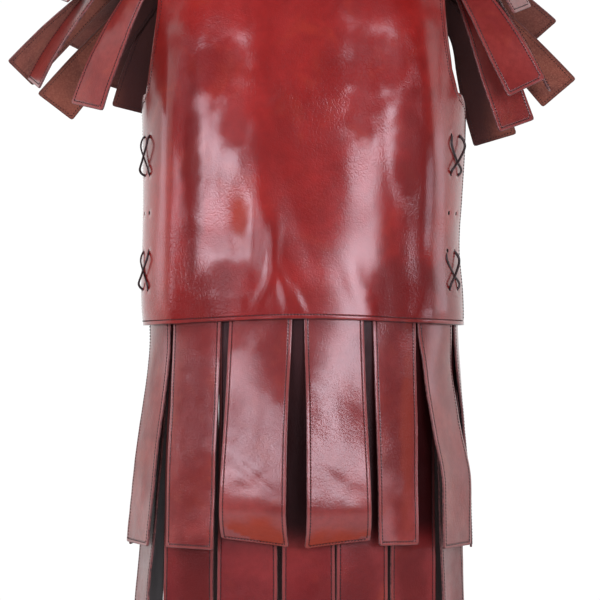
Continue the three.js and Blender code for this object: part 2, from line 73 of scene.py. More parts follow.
def lerp(a, b, share):
    return a + (b - a) * share


def smoothStep(value, low, high):
    t = clamp((value - low) / (high - low), 0, 1)
    return t * t * (3 - 2 * t)


def bell(value, half):  # 1 at 0, and 0 from half away
    t = clamp(abs(value) / half, 0, 1)
    return (1 - t * t) ** 2


def ridge(row, dx, dy, lean):  # the height of a fold or crease at a place beside its middle
    along = dy * cos(lean) + dx * sin(lean)
    across = dx * cos(lean) - dy * sin(lean)
    return row["height"] * bell(along, row["length"]) * bell(across, row["width"])


def tableOf(columns, *rows):
    return [dict(zip(columns.split(), row)) for row in rows]


def eased(a, b, leave, arrive, t):  # from a to b, with its slope at each end
    return (a * (2 * t ** 3 - 3 * t ** 2 + 1) + leave * (t ** 3 - 2 * t ** 2 + t)
            + b * (3 * t ** 2 - 2 * t ** 3) + arrive * (t ** 3 - t ** 2))


def sample(table, key, place, column):  # a smooth value of one column of a table
    k = clamp(sum(1 for row in table if row[key] <= place) - 1, 0, len(table) - 2)
    before, a = table[max(k - 1, 0)], table[k]
    b, after = table[k + 1], table[min(k + 2, len(table) - 1)]
    span = b[key] - a[key]
    t = clamp((place - a[key]) / span, 0, 1)
    leave = (b[column] - before[column]) / (b[key] - before[key]) * span
    arrive = (after[column] - a[column]) / (after[key] - a[key]) * span
    return eased(a[column], b[column], leave, arrive, t)


def stationAt(own, k):
    low = min(int(k), len(own) - 2)
    return lerp(own[low], own[low + 1], k - low)


# Materials.
def colour(code):  # a plain web colour in linear light
    parts = [int(code[n:n + 2], 16) / 255 for n in (1, 3, 5)]
    return tuple(p / 12.92 if p < 0.04045 else ((p + 0.055) / 1.055) ** 2.4 for p in parts) + (1,)


class NodeTree:  # short ways to add nodes
    def __init__(self, tree, place):
        self.tree = tree
        self.place = self.add("ShaderNodeTexCoord").outputs[place]

    def add(self, kind, inputs=(), **settings):
        node = self.tree.nodes.new(kind)
        for key, value in settings.items():
            setattr(node, key, value)
        for key, value in dict(inputs).items():
            self.put(node.inputs[key], value)
        return node

    def put(self, socket, value):
        if isinstance(value, bpy.types.NodeSocket):
            self.tree.links.new(value, socket)
        else:
            socket.default_value = colour(value) if isinstance(value, str) else value

    def noise(self, scale, detail=3, roughness=0.5, distortion=0.0, place=None):
        node = self.add("ShaderNodeTexNoise", {
            "Vector": place or self.place, "Scale": scale, "Detail": detail,
            "Roughness": roughness, "Distortion": distortion})
        return node.outputs["Fac"]

    def cells(self, scale, feature):
        node = self.add("ShaderNodeTexVoronoi", {"Vector": self.place, "Scale": scale},
                        feature=feature)
        return node.outputs["Distance"]

    def reach(self, value, low, high, first=0.0, last=1.0):
        node = self.add("ShaderNodeMapRange", {
            "Value": value, "From Min": low, "From Max": high, "To Min": first, "To Max": last},
            interpolation_type="SMOOTHSTEP")
        return node.outputs["Result"]

    def sum(self, kind, a, b):
        node = self.add("ShaderNodeMath", {0: a, 1: b}, operation=kind)
        return node.outputs["Value"]

    def mix(self, share, a, b):
        node = self.add("ShaderNodeMix", data_type="RGBA")
        self.put(node.inputs["Factor"], share)
        self.put(node.inputs[6], a)
        self.put(node.inputs[7], b)
        return node.outputs[2]

    def stretched(self, scale):
        node = self.add("ShaderNodeMapping", {"Vector": self.place, "Scale": scale})
        return node.outputs["Vector"]

    def attribute(self, name):
        return self.add("ShaderNodeAttribute", attribute_name=name).outputs["Fac"]

    def bump(self, height, strength, distance, normal=None):
        node = self.add("ShaderNodeBump", {"Height": height, "Strength": strength,
                                           "Distance": distance})
        if normal:
            self.put(node.inputs["Normal"], normal)
        return node.outputs["Normal"]


class Finish(NodeTree):  # a procedural material
    def __init__(self, name):
        self.material = bpy.data.materials.new(name)
        self.material.use_nodes = True
        super().__init__(self.material.node_tree, "Object")

    def wear(self, **sockets):
        for key, value in sockets.items():
            self.put(self.tree.nodes["Principled BSDF"].inputs[key.replace("_", " ")], value)
        return self.material


def grainLeather(name, look):
    f = Finish(name)
    cloud = f.reach(f.noise(look["cloudScale"], 4, 0.55, 0.4), 0.32, 0.68)
    dye = f.mix(cloud, look["deep"], look["mid"])
    warm = f.noise(look["cloudScale"] * 2.3, 3, 0.6, 0.8)
    mottle = f.noise(look["mottleScale"], 4, 0.65)
    under, edge, inset = f.attribute("under"), f.attribute("edge"), look["stitchInset"]
    rubbed = f.reach(f.noise(look["rubScale"], 2), 0.3, 0.7,
                     look["edgeWidth"] * 0.4, look["edgeWidth"])
    line = f.sum("ABSOLUTE", f.sum("SUBTRACT", edge, inset * mm), 0)
    nearLine = f.reach(line, 0, look["lineWidth"], 1, 0)
    for share, tone in (
            (f.reach(warm, 0.5, 0.78, 0, look["warmth"]), "warm"),
            (f.reach(mottle, 0.3, 0.75, 0, look["mottle"]), "dark"),
            # painted shade from the dark patches, and painted warm shade and glow from the tan
            # patches
            (f.attribute("dark"), "dark"), (f.attribute("tan"), "tan"),
            # painted shade: the lowest tier is painted near-black where the upper tier shades it
            (f.sum("MULTIPLY", under, look["paintedShadeShare"]), "under"),
            # painted highlight: the band between the stitching and the edge is painted paler pink
            (f.reach(edge, inset * mm, (inset - 1) * mm, 0, look["edgeHighlightShare"]), "margin"),
            (f.reach(f.sum("DIVIDE", edge, rubbed), 0.2, 1.0, look["edgeDark"], 0), "rim"),
            (f.sum("MULTIPLY", nearLine, look["lineDark"]), "rim")):
        dye = f.mix(share, dye, look[tone])

    pebble = f.cells(look["grainScale"], "SMOOTH_F1")
    fine = f.noise(look["grainScale"] * 1.7, 3, 0.6)
    crease = f.cells(look["grainScale"] * 0.32, "DISTANCE_TO_EDGE")
    loose = f.reach(f.noise(look["looseScale"], 3, 0.6), 0.42, 0.68)
    height = f.sum("ADD", f.sum("MULTIPLY", pebble, -0.7), f.sum("MULTIPLY", fine, 0.5))
    folds = f.sum("MULTIPLY", f.reach(crease, 0, 0.16),
                  f.sum("MULTIPLY", loose, look["looseGrain"]))
    height = f.sum("ADD", height, folds)
    groove = f.bump(f.sum("MULTIPLY", nearLine, -1), 0.8, look["grooveDepth"])
    sheen = f.reach(f.noise(look["sheenScale"], 4, 0.7), 0.3, 0.7, *look["gloss"])
    scuffs = f.noise(look["scuffScale"], 5, 0.75, 0.6, f.stretched((1, 1, 6)))
    return f.wear(
        Base_Color=dye, Specular_IOR_Level=look["specular"],
        Roughness=f.sum("ADD", sheen, f.reach(scuffs, 0.62, 0.74, 0, look["scuffs"])),
        Normal=f.bump(height, look["grainStrength"], look["grainDepth"], groove),
        Coat_Weight=f.reach(f.sum("MAXIMUM", f.attribute("dull"), under), 0, 1, look["coat"], 0),
        Coat_Roughness=look["coatRoughness"],
        Coat_Normal=f.bump(height, look["coatGrain"], look["grainDepth"], groove))


def fleshLeather(name, look):
    f = Finish(name)
    cloud = f.reach(f.noise(look["cloudScale"], 4, 0.6, 0.5), 0.3, 0.7)
    tone = f.mix(cloud, look["deep"], look["mid"])
    nap = f.noise(look["napScale"], 4, 0.7)
    across = f.add("ShaderNodeSeparateXYZ", {"Vector": f.place}).outputs["X"]
    side = f.sum("ABSOLUTE", across, 0)
    shade = f.sum("MULTIPLY", f.reach(side, *look["shadeStarts"]),
                  f.reach(side, *look["shadeEnds"], look["shadeMost"], 0))
    for share, tint in ((f.reach(nap, 0.35, 0.75, 0, 0.5), "pale"),
                        (f.reach(f.attribute("edge"), 0, look["rimWidth"], 0.55, 0), "rim"),
                        (shade, "shade")):
        tone = f.mix(share, tone, look[tint])
    fibres = f.noise(look["fibreScale"], 3, 0.7, 0.6)
    height = f.sum("ADD", f.sum("MULTIPLY", nap, 0.7), f.sum("MULTIPLY", fibres, 0.5))
    return f.wear(
        Base_Color=tone, Roughness=f.reach(nap, 0.3, 0.7, *look["gloss"]),
        Sheen_Weight=look["sheen"], Normal=f.bump(height, 0.6, look["napDepth"]))


def plainFinish(look):
    f = Finish(look["name"])
    streak = f.noise(look["scale"], 3, 0.6, 0.5)
    tone = f.mix(f.reach(streak, 0.3, 0.7), look["deep"], look["mid"])
    return f.wear(Base_Color=tone, Roughness=f.reach(streak, 0.3, 0.7, *look["gloss"]),
                  Normal=f.bump(streak, 0.5, look["depth"]))


# Widths and depths of the finishes are in metres, and stitchInset is in millimetres.
# Some colours here paint light and shade: the darkest red also paints shade on patches, the tan
# paints warm shade and a glow, the near-black paints the lower tier's shade under the upper one,
# and the pale pink paints a highlight between the stitching and the edge.
bodyLook = {
    "deep": "#74110e", "mid": "#901f1b", "cloudScale": 9, "warm": "#96301a", "warmth": 0.35,
    "dark": "#540b0b", "mottle": 0.2, "mottleScale": 120, "tan": "#96391c",
    "under": "#1c0607", "paintedShadeShare": 0.9, "margin": "#8a4a46", "edgeHighlightShare": 0.1,
    "rim": "#250d0e", "edgeWidth": 0.002, "edgeDark": 0.8, "rubScale": 60,
    "stitchInset": 5, "lineWidth": 0.0011, "lineDark": 0.55, "grooveDepth": 0.0004,
    "grainScale": 640, "grainStrength": 0.35, "grainDepth": 0.0005, "coatGrain": 0.14,
    "looseGrain": 0.8, "looseScale": 7, "gloss": (0.34, 0.44), "sheenScale": 35,
    "scuffs": 0.16, "scuffScale": 9, "specular": 0.15, "coat": 1.0, "coatRoughness": 0.17}
strapLook = dict(
    bodyLook, deep="#701c1a", mid="#87302b", cloudScale=12, warm="#8d381f", mottle=0.3,
    edgeHighlightShare=0.4, edgeWidth=0.0012, edgeDark=0.6, stitchInset=4.2, grainStrength=0.3,
    gloss=(0.38, 0.5), specular=0.2, coat=0.9, coatRoughness=0.2)
lowLook = dict(strapLook, deep="#651012", mid="#7c2020", warm="#7c2012", coat=0.6)
fleshLook = {  # the shade falls between two distances from the middle, on either side
    "deep": "#5c2a1f", "mid": "#8c4a36", "cloudScale": 13, "pale": "#a8705a", "napScale": 420,
    "napDepth": 0.0006, "fibreScale": 900, "rim": "#33150f", "rimWidth": 0.004,
    "shade": "#3a1412", "shadeStarts": (0.155, 0.17), "shadeEnds": (0.205, 0.245),
    "shadeMost": 0.9, "gloss": (0.78, 0.95), "sheen": 0.25}
# The flesh finish again, painted near-black as the shade on the hip strips' inner sides.
shadedFleshLook = dict(fleshLook, deep="#140807", mid="#2c1410", pale="#3e2019", rim="#1c0c0a",
                 shade="#140807")
plainLooks = tableOf(
    "name deep mid scale gloss depth",
    ("cutEdge", "#3a1b1a", "#7a4642", 260, (0.5, 0.7), 0.0003),
    ("darkEdge", "#1c0a0b", "#3a1a18", 260, (0.5, 0.7), 0.0003),
    ("thread", "#12080c", "#2c141a", 2600, (0.55, 0.8), 0.0002),
    ("thong", "#160a09", "#33191a", 500, (0.35, 0.6), 0.0003))

bodyGrain = grainLeather("bodyGrain", bodyLook)
strapGrain = grainLeather("strapGrain", strapLook)
lowGrain = grainLeather("lowGrain", lowLook)
fleshSide = fleshLeather("fleshSide", fleshLook)
innerSide = fleshLeather("innerSide", shadedFleshLook)
cutEdge, darkEdge, thread, thongFinish = [plainFinish(look) for look in plainLooks]
print("materials ready")


# The body's form.
body = {
    "leather": 2.8, "seamGap": 0.3, "lapGap": 0.9, "hemZ": -489, "hemArch": 8,
    "lacedTopZ": -264, "frontCornerZ": -252, "cornerTopZ": -226, "yokeZ": -200, "roundness": 2.2,
    "shoulderRoundness": 2.4, "seamY": 8, "neckHalf": 72, "neckZ": 14,
    "neckDrop": {"front": 92, "back": 24}, "shoulderSlope": 20, "crestSoftness": 30,
    "lapStart": {"left": 52, "right": 46}, "lapRamp": 11, "liftFrom": -245, "liftTo": -130,
    "neckColumns": 4, "chestRows": 7, "yokeLength": 250, "cell": 3.6,
    "cellsAround": 2.6}  # millimetres round the body to a degree
torsoSections = tableOf(
    "z left right front back",
    (-489, 178.5, 177.5, 133, 128), (-450, 180, 176, 130, 125), (-400, 179, 171.5, 127, 122),
    (-340, 178.5, 176, 128, 123), (-285, 179, 179.5, 130, 126), (-240, 180, 180, 128, 125),
    (-200, 180, 180, 126, 122))
armholeReach = tableOf(
    "rise left right",
    (0, 171, 162), (7, 168, 159), (23, 163, 155.5), (50, 161, 156), (90, 164, 161),
    (130, 160, 157), (157, 159, 156), (173, 165, 161), (180, 168, 164))
cornerReach = {"front": {"left": 174, "right": 168}, "back": {"left": 171, "right": 168}}
stations = {
    "front": {"left": [0, 10, 20, 30, 39, 47, 55.5, 64, 73, 82, 92],
              "right": [0, 9, 18, 27, 36, 44, 51, 58, 66, 74, 82]},
    "back": {"left": [0, 12, 23, 34, 43, 52, 61, 70, 79, 88, 98, 107, 116],
             "right": [0, 12, 23, 34, 43, 52, 61, 70, 79, 88, 98, 106, 114, 122]}}
lacing = {"hole": 2.6, "topZ": -275, "pitch": 43.3, "rows": 5,
          "columns": {"left": [-80, -73.5], "right": [67, 73.5]}, "ties": {"upper": 0, "lower": 3},
          "half": (1.45, 1.0), "tail": 18, "crossing": 0.62, "inside": -2.8, "lip": 0.8,
          "slack": 4, "steps": 9, "sides": 10, "rough": 0.08}


def torsoPoint(around, z):
    across, ahead = sin(radians(around)), cos(radians(around))
    half = sample(torsoSections, "z", z, "left" if across < 0 else "right")
    depth = sample(torsoSections, "z", z, "front" if ahead > 0 else "back")
    size = abs(across / half) ** body["roundness"] + abs(ahead / depth) ** body["roundness"]
    reach = size ** (-1 / body["roundness"])
    return Vector((reach * across, -reach * ahead, z))


def shoulderZ(x):
    soft = body["crestSoftness"] ** 2
    away = sqrt(x * x + soft) - sqrt(body["neckHalf"] ** 2 + soft)
    return body["neckZ"] - away * math.tan(radians(body["shoulderSlope"]))


def depthAt(x, z, face, side):
    half = sample(torsoSections, "z", z, side)
    depth = sample(torsoSections, "z", z, face)
    return depth * max(1 - abs(x / half) ** body["roundness"], 0) ** (1 / body["roundness"])


def chestDepth(x, face):
    return depthAt(x, body["yokeZ"], face, "left" if x < 0 else "right")


def yokePoint(x, rise):
    foot = -chestDepth(x, "front") if rise < 90 else chestDepth(x, "back")
    power = 2 / body["shoulderRoundness"]
    along = abs(cos(radians(rise))) ** power
    climb = max(sin(radians(rise)), 0) ** power
    return Vector((x, body["seamY"] + (foot - body["seamY"]) * along,
                   body["yokeZ"] + (shoulderZ(x) - body["yokeZ"]) * climb))


def placeOn(surface, a, b, stepA, stepB):  # a point of a surface and the way out of the body
    alongA = surface(a + stepA, b) - surface(a - stepA, b)
    alongB = surface(a, b + stepB) - surface(a, b - stepB)
    out = alongA.cross(alongB).normalized()
    point = surface(a, b)
    if out.dot(point - Vector((0, 0, body["yokeZ"] - 60))) < 0:
        out.negate()
    return point, out


def onTorso(around, z):
    return placeOn(torsoPoint, around, z, 0.5, 1)


def onYoke(x, rise):  # its way out is taken a little up from the foot, where it is steady
    return yokePoint(x, rise), placeOn(yokePoint, x, clamp(rise, 3, 177), 0.5, 0.5)[1]


def raised(place, height):
    return place[0] + place[1] * height


def hemAt(around):
    return body["hemZ"] + body["hemArch"] * max(cos(radians(around)), 0) ** 2


def angleAt(x, z, face, side):
    return degrees(math.atan2(x, depthAt(x, z, face, side)))


def armReach(side, rise):
    return sample(armholeReach, "rise", rise, side)


def frontLift(around, z):
    start = body["lapStart"]["left" if around < 0 else "right"]
    lap = smoothStep(abs(around), start, start + body["lapRamp"])
    lift = (body["leather"] + body["lapGap"]) * lap
    return lift * (1 - smoothStep(z, body["liftFrom"], body["liftTo"]))


def neckRise(x, face):
    drop = body["neckDrop"][face] * sqrt(max(1 - (x / body["neckHalf"]) ** 2, 0))
    climb = (body["neckZ"] - drop - body["yokeZ"]) / (shoulderZ(x) - body["yokeZ"])
    return degrees(math.asin(min(climb, 1) ** (body["shoulderRoundness"] / 2)))


# Folds of the panels: where, how far they lean from upright, half sizes and height out of
# the body. The first rows are broad and flatten the chest, the rest are wrinkles.
foldColumns = "x z turn length width height"
panelFolds = {
    "front": tableOf(
        foldColumns,
        (-130, -240, 6, 340, 42, 6), (124, -246, -6, 340, 42, 6), (0, -200, 0, 270, 70, -4),
        (-119, -365, -3, 95, 24, 1.8), (-46, -372, -18, 100, 40, 3.0),
        (-71, -362, 6, 52, 18, -1.2), (-62, -430, 10, 60, 14, 0.9), (-35, -415, 6, 60, 11, 1.1),
        (-22, -450, -14, 40, 9, 1.0), (-48, -455, 24, 34, 8, 0.9), (-8, -462, -24, 30, 8, 0.9),
        (-70, -468, -8, 24, 7, 0.9), (60, -452, -18, 60, 16, 0.6), (72, -472, 4, 26, 8, 0.7),
        (122, -470, 4, 26, 9, 0.7), (-36, -245, 47, 34, 5, -0.5)),
    "back": tableOf(
        foldColumns,
        (-120, -210, 4, 140, 46, 4), (120, -210, -4, 140, 46, 4), (0, -260, 0, 110, 34, -3),
        (-44, -440, 14, 60, 14, 1.4), (30, -452, -10, 50, 10, 1.3), (58, -440, -22, 44, 9, 1.2),
        (-16, -462, 20, 34, 8, 1.3), (82, -466, 6, 26, 8, 0.9), (-90, -466, -6, 28, 8, 0.9))}
panelWaves = ((0.5, 60, 80), (0.16, 17, 26))  # height, breadth and length


def panelFold(face, place):
    x, y, z = place
    height = sum(ridge(fold, x - fold["x"], z - fold["z"], radians(fold["turn"]))
                 for fold in panelFolds[face])
    for size, wide, tall in panelWaves:
        height += size * noise.noise(Vector((x / wide, y / wide, z / tall)))
    return height


def cornerAngle(face, side):  # where the armhole's curve turns up, from the panel's middle
    return angleAt(cornerReach[face][side], body["cornerTopZ"], face, side)


# Columns of a panel from one side to the other. k counts its stations up to the armhole's
# foot, and beyond is how far a column stands past that, from 0 to 1 at the laced edge.
def panelColumns(face):
    columns = []
    for side, sign in (("left", -1), ("right", 1)):
        own = stations[face][side]
        corner = cornerAngle(face, side)
        scale = corner / own[-1] * body["cellsAround"] / body["cell"]
        stops = []
        for k in range(len(own) - 1):
            parts = max(2, round((own[k + 1] - own[k]) * scale))
            stops += [(k + n / parts, 0) for n in range(parts)]
        stops.append((len(own) - 1, 0))
        parts = round((own[-1] - corner) * body["cellsAround"] / body["cell"])
        stops += [(len(own) - 1, n / parts) for n in range(1, parts + 1)]
        if sign < 0:
            columns = [(side, sign, *stop) for stop in stops[:0:-1]]
        else:
            columns += [(side, sign, *stop) for stop in stops]
    return columns if face == "front" else columns[::-1]


# A panel as rows of (place, lift) from the hem up to the shoulder seam and the neck, with
# None beside the armholes.
def panelGrid(face):
    front = face == "front"
    own = stations[face]
    corners = {side: cornerAngle(face, side) for side in own}
    foot = 0 if front else 180
    feet = {side: angleAt(armReach(side, foot), body["yokeZ"], face, side) for side in own}
    sideTop = body["frontCornerZ"] if front else body["lacedTopZ"]
    seam = 90 - degrees(body["seamGap"] / 2 / chestDepth(0, face))

    def bearing(sign, turn):
        return sign * (turn if front else 180 - turn)

    def lifted(place, around, z):
        return place, frontLift(around, z) if front else 0

    def belly(share, side, sign, k, beyond):
        turn = stationAt(own[side], k) * corners[side] / own[side][-1]
        around = bearing(sign, lerp(turn, own[side][-1], beyond))
        top = lerp(body["cornerTopZ"], sideTop, 1 - sqrt(1 - beyond ** 2))
        z = lerp(hemAt(around), top, share)
        return lifted(onTorso(around, z), around, z)

    def chest(share, side, sign, k, beyond):
        if beyond:
            return None
        scale = lerp(corners[side], feet[side], share) / own[side][-1]
        around = bearing(sign, stationAt(own[side], k) * scale)
        z = lerp(body["cornerTopZ"], body["yokeZ"], share)
        return lifted(onTorso(around, z), around, z)

    def yoke(share, side, sign, k, beyond):
        if beyond:
            return None
        tip = armReach(side, 90)
        inNeck = k < body["neckColumns"]
        if inNeck:
            crest = body["neckHalf"] * sin(radians(90 * k / body["neckColumns"]))
        else:
            past = (k - body["neckColumns"]) / (len(own[side]) - 1 - body["neckColumns"])
            crest = lerp(body["neckHalf"], tip, past)
        turn = stationAt(own[side], k) * feet[side] / own[side][-1]
        chestReach = abs(torsoPoint(bearing(sign, turn), body["yokeZ"]).x)
        edge = armReach(side, 90 * share if front else 180 - 90 * share)
        reach = lerp(chestReach, crest, share) * edge / lerp(armReach(side, foot), tip, share)
        top = neckRise(crest, face) if inNeck else seam
        place = onYoke(sign * reach, share * top if front else 180 - share * top)
        return lifted(place, turn * sign, place[0].z)

    count = round((body["cornerTopZ"] - body["hemZ"]) / body["cell"])
    steps = round(body["yokeLength"] / body["cell"])
    rows = [(belly, n / count) for n in range(count + 1)]
    rows += [(chest, n / body["chestRows"]) for n in range(1, body["chestRows"] + 1)]
    rows += [(yoke, n / steps) for n in range(1, steps + 1)]
    columns = panelColumns(face)
    return [[spot(share, *column) for column in columns] for spot, share in rows]


# A sheet is a grid of points in millimetres, its first row the lowest, with the way out of
# its face at each. cut is its flat size before it was shaped.
def waysOut(points):
    def at(j, i):
        inside = 0 <= j < len(points) and 0 <= i < len(points[0])
        return points[j][i] if inside else None

    def along(here, before, after):
        return (after or here) - (before or here)

    return [[here and along(here, at(j, i - 1), at(j, i + 1)).cross(
        along(here, at(j - 1, i), at(j + 1, i))).normalized()
        for i, here in enumerate(row)] for j, row in enumerate(points)]


def roundTheSheet(points):  # the points of its outline, a millimetre or so apart
    ends = [[i for i, point in enumerate(row) if point] for row in points]
    rows = list(zip(points, ends, ends[1:] + ends[-1:]))
    loop = points[0][1:-1]
    for row, own, above in rows:
        loop += [row[own[-1]]] + row[above[-1] + 1:own[-1]][::-1]
    loop += points[-1][ends[-1][0] + 1:ends[-1][-1]][::-1]
    for row, own, above in rows[::-1]:
        loop += row[own[0] + 1:above[0]][::-1] + [row[own[0]]]
    outline = []
    for a, b in zip(loop, loop[1:] + loop[:1]):
        parts = max(1, round((b - a).length / 0.8))
        outline += [a.lerp(b, n / parts) for n in range(parts)]
    tree = kdtree.KDTree(len(outline))
    for n, point in enumerate(outline):
        tree.insert(point, n)
    tree.balance()
    return tree


def meshOf(name, shape):
    mesh = bpy.data.meshes.new(name)
    shape.to_mesh(mesh)
    shape.free()
    return mesh


def nameOf(node):  # front_panel is shown by frontPanel
    first, *rest = node.split("_")
    return first + "".join(word.title() for word in rest)


def showMesh(name, mesh, materials):
    for material in materials:
        mesh.materials.append(material)
    mesh.polygons.foreach_set("use_smooth", [True] * len(mesh.polygons))
    piece = addToScene(name, mesh)
    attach(piece, "root")
    return piece


def punchHole(shape, place, radius):
    middle, out = place[0] * mm, place[1]
    nearest = min(shape.verts, key=lambda vert: (vert.co - middle).length_squared)
    ring = {vert for face in nearest.link_faces for vert in face.verts} - {nearest}
    bmesh.ops.delete(shape, geom=[nearest], context="VERTS")
    for vert in ring:
        away = vert.co - middle
        flat = away - out * away.dot(out)
        vert.co += flat.normalized() * radius * mm - flat


# Patches of painted warm shade and glow, of gloss worn off and of painted darker shade:
# middle, half sizes, amount and, where it isn't 0, how far ahead it starts.
patchColumns = "x z width height amount ahead"
wornPlaces = {
    # Painted shade in a warm tone, where strip tips curl under and the chest highlight breaks, and
    # a painted glow down one strip.
    "tan": tableOf(
        patchColumns,
        (-71, -369, 13, 30, 0.35), (-58, -722, 50, 32, 0.55, 136), (38, -728, 50, 26, 0.55, 136),
        (113, -604, 10, 130, 0.3), (92, -800, 12, 40, 0.3)),
    "dull": tableOf(
        patchColumns,
        (0, -95, 260, 125, 0.92), (-5, -110, 100, 180, 0.95), (-90, -482, 80, 52, 0.8),
        (-58, -722, 50, 32, 0.95, 136), (38, -728, 50, 26, 0.95, 136), (-71, -369, 14, 32, 0.8),
        (-74, -255, 28, 60, 0.85), (-86, -395, 46, 30, 0.4), (-84, -438, 52, 34, 0.75),
        (-124, -305, 14, 105, 0.9), (-92, -205, 50, 60, 0.95), (-136, -462, 14, 34, 0.8),
        (76, -200, 64, 62, 0.95), (116, -290, 24, 110, 0.92), (60, -250, 24, 58, 0.9),
        (78, -456, 16, 44, 0.8), (120, -460, 14, 44, 0.8), (108, -604, 26, 130, 0.7),
        (-122, -604, 26, 130, 0.6), (-176, -600, 26, 120, 0.5, -200),
        (-222, -215, 30, 60, 0.4, -200), (-122, -770, 28, 60, 0.8), (62, -775, 26, 55, 0.6),
        (118, -775, 24, 60, 0.6)),
    # Painted shade: darker bands beside the highlights, darker lower corners and strips that hang
    # in shade.
    "dark": tableOf(
        patchColumns,
        (126, -330, 24, 150, 0.6), (112, -452, 52, 70, 0.75), (-124, -330, 15, 150, 0.65),
        (-112, -462, 55, 50, 0.5), (0, -470, 110, 34, 0.35), (-20, -60, 190, 60, 0.3),
        (-122, -770, 28, 60, 0.8), (62, -775, 26, 55, 0.5), (108, -604, 26, 130, 0.55),
        (-122, -604, 26, 130, 0.3), (118, -775, 24, 60, 0.6))}
# The edge of a patch wanders by a share of its size, in waves of so many millimetres.
patchEdge = {"waves": ((0.3, 19), (0.12, 7)), "fades": (0.4, 1.1)}


def patchAt(patches, point):
    wander = sum(size * noise.noise(point / wave) for size, wave in patchEdge["waves"])
    amount = 0
    for row in patches:
        away = math.hypot((point.x - row["x"]) / row["width"],
                          (point.z - row["z"]) / row["height"]) + wander
        if -point.y > row.get("ahead", 0):
            amount = max(amount, row["amount"] * (1 - smoothStep(away, *patchEdge["fades"])))
    return amount


cutEdges = {"bevel": 0.7, "segments": 2, "angle": 60}


# Cuts the flat sheet, hangs it on its points and gives it its wall of leather.
def makeSheet(node, sheet, finishes, holes=(), under=None):
    points, cut = sheet["points"], sheet["cut"]
    rows, columns = len(points) - 1, len(points[0]) - 1
    outline = roundTheSheet(points)
    shape = bmesh.new()
    cutLayer = shape.loops.layers.uv.new("cut")
    layers = {key: shape.verts.layers.float.new(key) for key in ("edge", *wornPlaces, "under")}
    bmesh.ops.create_grid(shape, x_segments=columns, y_segments=rows, size=0.5,
                          matrix=Matrix.Diagonal((cut[0], cut[1], 1, 1)))
    for face in shape.faces:
        for loop in face.loops:
            loop[cutLayer].uv = loop.vert.co.xy * mm
    offcuts = []
    for vert in shape.verts:
        i = round((vert.co.x / cut[0] + 0.5) * columns)
        j = round((vert.co.y / cut[1] + 0.5) * rows)
        point = points[j][i]
        if point is None:
            offcuts.append(vert)
            continue
        vert[layers["edge"]] = outline.find(point)[2] * mm
        for key, patches in wornPlaces.items():
            vert[layers[key]] = patchAt(patches, point)
        # Painted shade, strongest high on the lower tier where the upper tier hangs over it.
        vert[layers["under"]] = smoothStep(point.z, *under) if under else 0
        vert.co = point * mm
    bmesh.ops.delete(shape, geom=offcuts, context="VERTS")
    for hole in holes:
        punchHole(shape, hole, lacing["hole"])
    piece = showMesh(nameOf(node), meshOf(nameOf(node), shape), finishes)
    wall = piece.modifiers.new("wall", "SOLIDIFY")
    wall.thickness = sheet["thick"] * mm
    wall.offset = 0
    wall.material_offset = 1
    wall.material_offset_rim = 2
    edge = piece.modifiers.new("edge", "BEVEL")
    edge.width = cutEdges["bevel"] * mm
    edge.segments = cutEdges["segments"]
    edge.profile = 0.5
    edge.limit_method = "ANGLE"
    edge.angle_limit = radians(cutEdges["angle"])
    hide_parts(node)
    return piece


# Stitching.
sewing = {"pitch": 3.6, "long": 2.7, "thick": 0.95, "sunk": 0.25, "slant": 0.2,
          "slantSpread": 0.05, "pitchSpread": (0.97, 1.03)}


def stitchForm():  # one stitch, 1 long and 1 thick, as plain lists
    shape = bmesh.new()
    bmesh.ops.create_icosphere(shape, subdivisions=1, radius=0.5)
    shape.verts.index_update()
    corners = [vert.co.copy() for vert in shape.verts]
    sides = [[vert.index for vert in face.verts] for face in shape.faces]
    shape.free()
    return corners, sides


stitchCorners, stitchSides = stitchForm()


def sewLine(seam, points, outs, lift):
    walked = [0.0]
    for a, b in zip(points, points[1:]):
        walked.append(walked[-1] + (b - a).length)
    at, k = sewing["pitch"] / 2, 0
    while at < walked[-1]:
        while walked[k + 1] < at:
            k += 1
        share = (at - walked[k]) / max(walked[k + 1] - walked[k], 1e-6)
        out = outs[k].lerp(outs[k + 1], share).normalized()
        ahead = (points[k + 1] - points[k]).normalized()
        aside = out.cross(ahead)
        slant = random.gauss(sewing["slant"], sewing["slantSpread"])
        ahead = (ahead + aside * slant).normalized()
        aside = out.cross(ahead).normalized()
        over = aside.cross(ahead) * -1
        middle = points[k].lerp(points[k + 1], share)
        middle = middle + out * (lift + sewing["thick"] / 2 - sewing["sunk"])
        first = len(seam["corners"])
        for corner in stitchCorners:
            place = (middle + ahead * corner.x * sewing["long"]
                     + aside * corner.y * sewing["thick"] + over * corner.z * sewing["thick"])
            seam["corners"].append(place * mm)
        seam["sides"] += [[first + n for n in side] for side in stitchSides]
        at += sewing["pitch"] * random.uniform(*sewing["pitchSpread"])


# Stitches on both faces of a sheet along each line, a pair of its points and their ways out.
def sewAlong(name, sheet, lines):
    seam = {"corners": [], "sides": []}
    for points, outs in lines:
        sewLine(seam, points, outs, sheet["thick"] / 2)
        sewLine(seam, points, [-out for out in outs], sheet["thick"] / 2)
    mesh = bpy.data.meshes.new(name)
    mesh.from_pydata(seam["corners"], [], seam["sides"])
    return showMesh(name, mesh, (thread,))


# Panels.
holePlaces = {
    (side, row, column): onTorso(lacing["columns"][side][column],
                                 lacing["topZ"] - row * lacing["pitch"])
    for side in ("left", "right") for row in range(lacing["rows"]) for column in (0, 1)}
panelSewing = {"hem": 5, "side": 5, "armhole": 8.5, "neck": 6, "reach": 24}


# Folds are kept small along the hem and over the shoulder.
panelCalm = {"hem": (2, 18), "hemKeeps": 0.25, "yoke": (-150, -60), "yokeLoses": 0.8}


